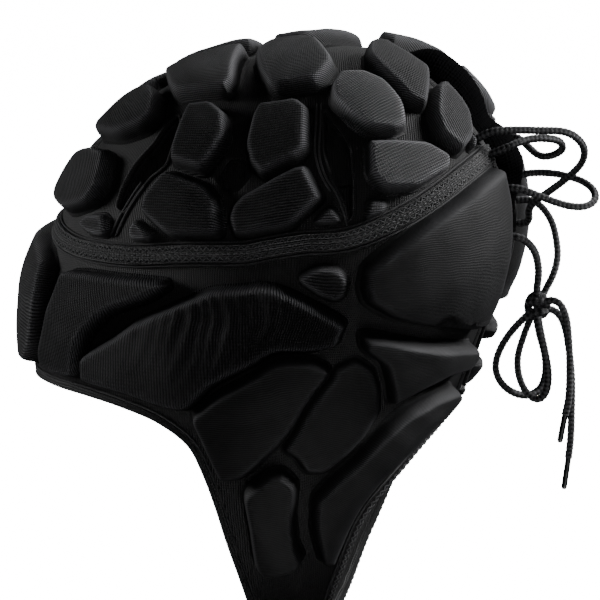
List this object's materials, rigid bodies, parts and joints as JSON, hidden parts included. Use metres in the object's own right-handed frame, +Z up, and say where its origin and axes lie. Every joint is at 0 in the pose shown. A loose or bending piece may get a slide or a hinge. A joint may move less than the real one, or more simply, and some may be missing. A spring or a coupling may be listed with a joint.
{
  "type": "rugby scrum cap",
  "caption": "Soft padded head guard with moulded foam pads, vent slits, a laced opening at the back and a chin strap.",
  "frame": {"origin": "highest point of the hollow, where the crown of a head carries the cap", "axes": "+Z up, -Y out of the face opening, +X to the wearer's left"},
  "size_m": [0.174, 0.2569, 0.2701],
  "materials": {
    "pad_fabric": "matte",
    "web_fabric": "matte",
    "tape": "matte",
    "binding": "matte",
    "tongue_fabric": "matte",
    "lace": "matte"
  },
  "bodies": {
    "root": {"crown_shell": "web_fabric", "side_panel_left": "web_fabric", "side_panel_right": "web_fabric", "chin_strap": "web_fabric", "pad_front_upper_left": "pad_fabric", "pad_front_upper_right": "pad_fabric", "pad_front_lower_left": "pad_fabric", "pad_front_lower_right": "pad_fabric", "pad_top_front_left": "pad_fabric", "pad_top_front_right": "pad_fabric", "pad_top_middle_left": "pad_fabric", "pad_top_middle_right": "pad_fabric", "pad_top_rear_left": "pad_fabric", "pad_top_rear_right": "pad_fabric", "pad_upper_front_left": "pad_fabric", "pad_upper_front_right": "pad_fabric", "pad_upper_rear_left": "pad_fabric", "pad_upper_rear_right": "pad_fabric", "pad_lower_front_left": "pad_fabric", "pad_lower_front_right": "pad_fabric", "pad_lower_rear_left": "pad_fabric", "pad_lower_rear_right": "pad_fabric", "pad_rear_upper_left": "pad_fabric", "pad_rear_upper_right": "pad_fabric", "pad_rear_edge_left": "pad_fabric", "pad_rear_edge_right": "pad_fabric", "pad_rear_lower_left": "pad_fabric", "pad_rear_lower_right": "pad_fabric", "pad_temple_left": "pad_fabric", "pad_temple_right": "pad_fabric", "pad_wing_left": "pad_fabric", "pad_wing_right": "pad_fabric", "pad_cheek_left": "pad_fabric", "pad_cheek_right": "pad_fabric", "pad_rear_left": "pad_fabric", "pad_rear_right": "pad_fabric", "pad_nape_upper_left": "pad_fabric", "pad_nape_upper_right": "pad_fabric", "pad_nape_lower_left": "pad_fabric", "pad_nape_lower_right": "pad_fabric", "pad_ear_left": "pad_fabric", "pad_ear_right": "pad_fabric", "pad_jaw_left": "pad_fabric", "pad_jaw_right": "pad_fabric", "forehead_pad": "pad_fabric", "seam_tape": "tape", "face_binding": "binding", "neck_binding": "binding", "tongue": "tongue_fabric", "lace_loop_1": "lace", "lace_loop_2": "lace", "lace_loop_3": "lace", "lace_strand_1": "lace", "lace_strand_2": "lace", "bow_loop_1": "lace", "bow_loop_2": "lace", "lace_end_1": "lace", "lace_end_2": "lace", "lace_knot": "lace"}
  },
  "joints": []
}
